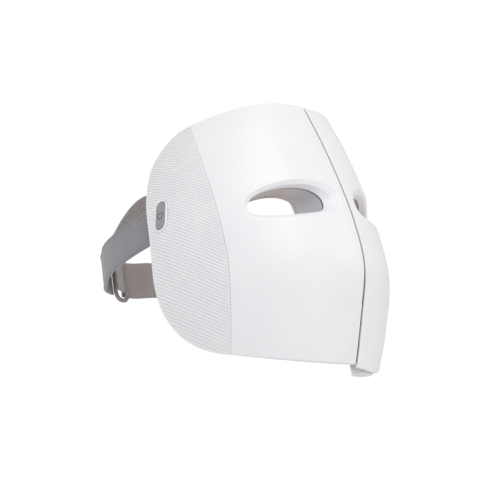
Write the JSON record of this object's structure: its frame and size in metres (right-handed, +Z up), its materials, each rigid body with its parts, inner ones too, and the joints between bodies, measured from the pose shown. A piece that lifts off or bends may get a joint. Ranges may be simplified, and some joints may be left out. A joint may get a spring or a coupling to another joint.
{
  "type": "eye massager mask",
  "caption": "Full-face massage mask in white plastic halves with oval eye openings, ribbed temples, grey side buttons and a split fabric head strap.",
  "frame": {"origin": "midway between the mask's rear edges, at the level of the cheekbones, 12 mm below the eye line", "axes": "+Z up the wearer's face, -Y the way the mask faces, +X the wearer's left"},
  "size_m": [0.1786, 0.2614, 0.2027],
  "materials": {
    "shell_white": "satin white injection-moulded shell",
    "ribbed_white": "satin white with fine moulded ribs",
    "frame_white": "matt white inner moulding",
    "button_grey": "fine matt grey keycap",
    "dark_trim": "dark grey elastomer",
    "silicone_taupe": "soft taupe silicone",
    "pad_silicone": "soft silicone pad",
    "circuit_board": "green solder mask",
    "battery_foil": "silver pouch foil",
    "motor_can": "plain steel can",
    "screw_steel": "zinc plated",
    "strap_fabric": "heather grey knit outside, taupe lining inside",
    "buckle_grey": "satin warm grey moulding"
  },
  "bodies": {
    "mask": {"right_cover": "shell_white", "left_cover": "shell_white", "right_temple_panel": "ribbed_white", "left_temple_panel": "ribbed_white", "right_button_bezel": "shell_white", "left_button_bezel": "shell_white", "right_button_switch": "dark_trim", "left_button_switch": "dark_trim", "right_eye_sleeve": "silicone_taupe", "left_eye_sleeve": "silicone_taupe", "right_eye_gasket": "dark_trim", "left_eye_gasket": "dark_trim", "right_led_board": "circuit_board", "left_led_board": "circuit_board", "right_brow_motor": "motor_can", "left_brow_motor": "motor_can", "right_cheek_motor": "motor_can", "left_cheek_motor": "motor_can", "right_jaw_motor": "motor_can", "left_jaw_motor": "motor_can", "right_battery": "battery_foil", "left_battery": "battery_foil", "right_strap_anchor": "frame_white", "left_strap_anchor": "frame_white", "right_anchor_screw": "screw_steel", "left_anchor_screw": "screw_steel", "right_control_board": "circuit_board", "left_driver_board": "circuit_board", "center_seam_strip": "dark_trim", "upper_frame": "frame_white", "lower_frame": "frame_white", "inner_liner": "silicone_taupe", "forehead_pad": "pad_silicone", "nose_pad": "pad_silicone", "charging_socket": "frame_white"},
    "power_button": {"right_power_button": "button_grey"},
    "mode_button": {"left_mode_button": "button_grey"},
    "strap_end": {"strap_end": "strap_fabric"},
    "buckle_ring": {"buckle_ring": "buckle_grey"},
    "head_strap": {"right_strap": "strap_fabric", "left_strap": "strap_fabric", "upper_band": "strap_fabric", "right_strap_tongue": "buckle_grey", "left_strap_tongue": "buckle_grey"}
  },
  "joints": [
    {"name": "power_button_press", "type": "slide", "parent": "mask", "child": "power_button", "axis": [0.9779, 0.1534, -0.1419], "range_m": [0, 0.0008], "stiffness_N_per_m": 900, "springref_m": -0.0003},
    {"name": "mode_button_press", "type": "slide", "parent": "mask", "child": "mode_button", "axis": [-0.9779, 0.1534, -0.1419], "range_m": [0, 0.0008], "stiffness_N_per_m": 900, "springref_m": -0.0003},
    {"name": "strap_swing", "type": "hinge", "parent": "mask", "child": "head_strap", "pos_m": [0, -0.006, 0.0243], "axis": [1, 0, 0], "range_deg": [-25, 25]},
    {"name": "ring_swivel", "type": "hinge", "parent": "head_strap", "child": "buckle_ring", "pos_m": [-0.0242, 0.1322, 0.034], "axis": [0, 0, 1], "range_deg": [-15, 0]},
    {"name": "strap_end_peel", "type": "hinge", "parent": "head_strap", "child": "strap_end", "pos_m": [-0.0195, 0.126, 0.033], "axis": [0, 0, 1], "range_deg": [0, 60]}
  ]
}
